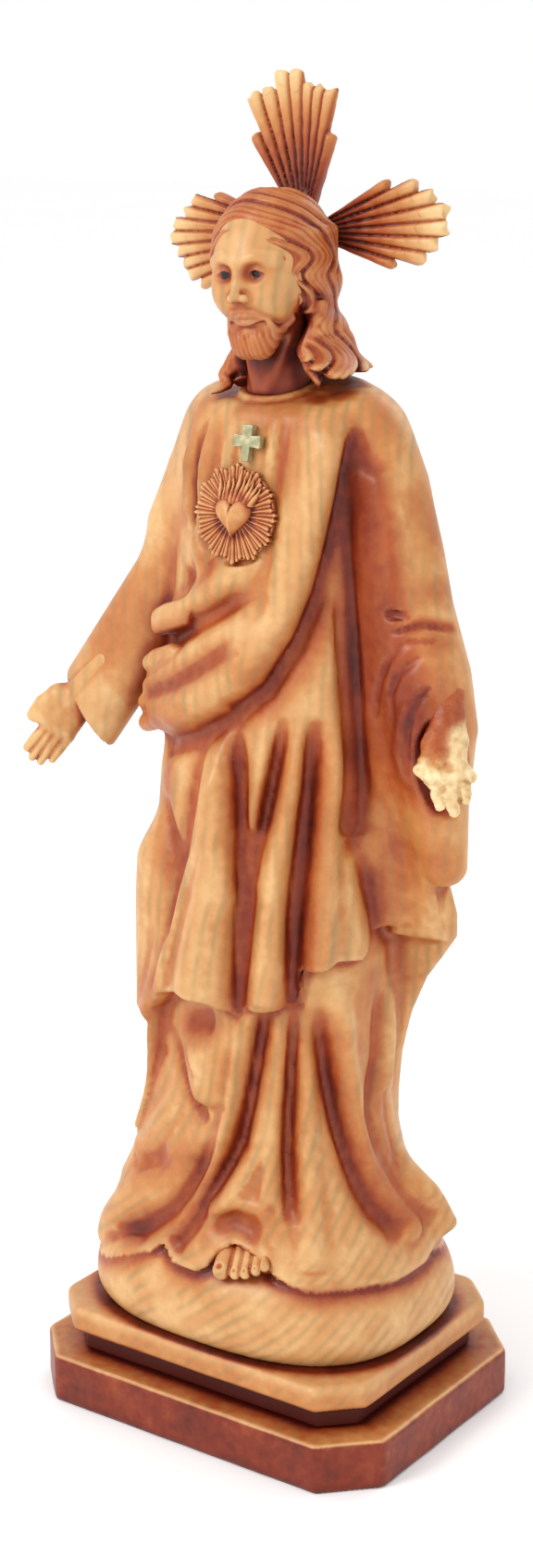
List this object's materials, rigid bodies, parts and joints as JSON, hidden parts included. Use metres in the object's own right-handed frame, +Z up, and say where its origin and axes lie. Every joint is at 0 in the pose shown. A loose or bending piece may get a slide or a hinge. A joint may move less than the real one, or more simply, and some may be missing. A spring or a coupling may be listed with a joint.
{
  "type": "sacred heart statue",
  "caption": "Standing robed figure with open lowered arms, a heart medallion on the chest and a fan halo, on a moulded octagonal plinth.",
  "frame": {"origin": "middle of the slab's underside, on the surface it stands on", "axes": "+Z up, the figure faces -Y, its left hand is towards +X"},
  "size_m": [0.1516, 0.0996, 0.4],
  "materials": {
    "pine_resin": "cast resin stained and grained like pine, honey on the crests and red-brown in the folds, satin lacquer",
    "dark_pine_resin": "cast resin stained mahogany brown on the sides and honey on top, satin lacquer",
    "pewter_trim": "tarnished pale metal"
  },
  "bodies": {
    "root": {"figure": "pine_resin", "halo": "pine_resin", "heart_medallion": "pine_resin", "medallion_cross": "pewter_trim", "plinth_step": "pine_resin", "plinth_slab": "dark_pine_resin"}
  },
  "joints": []
}
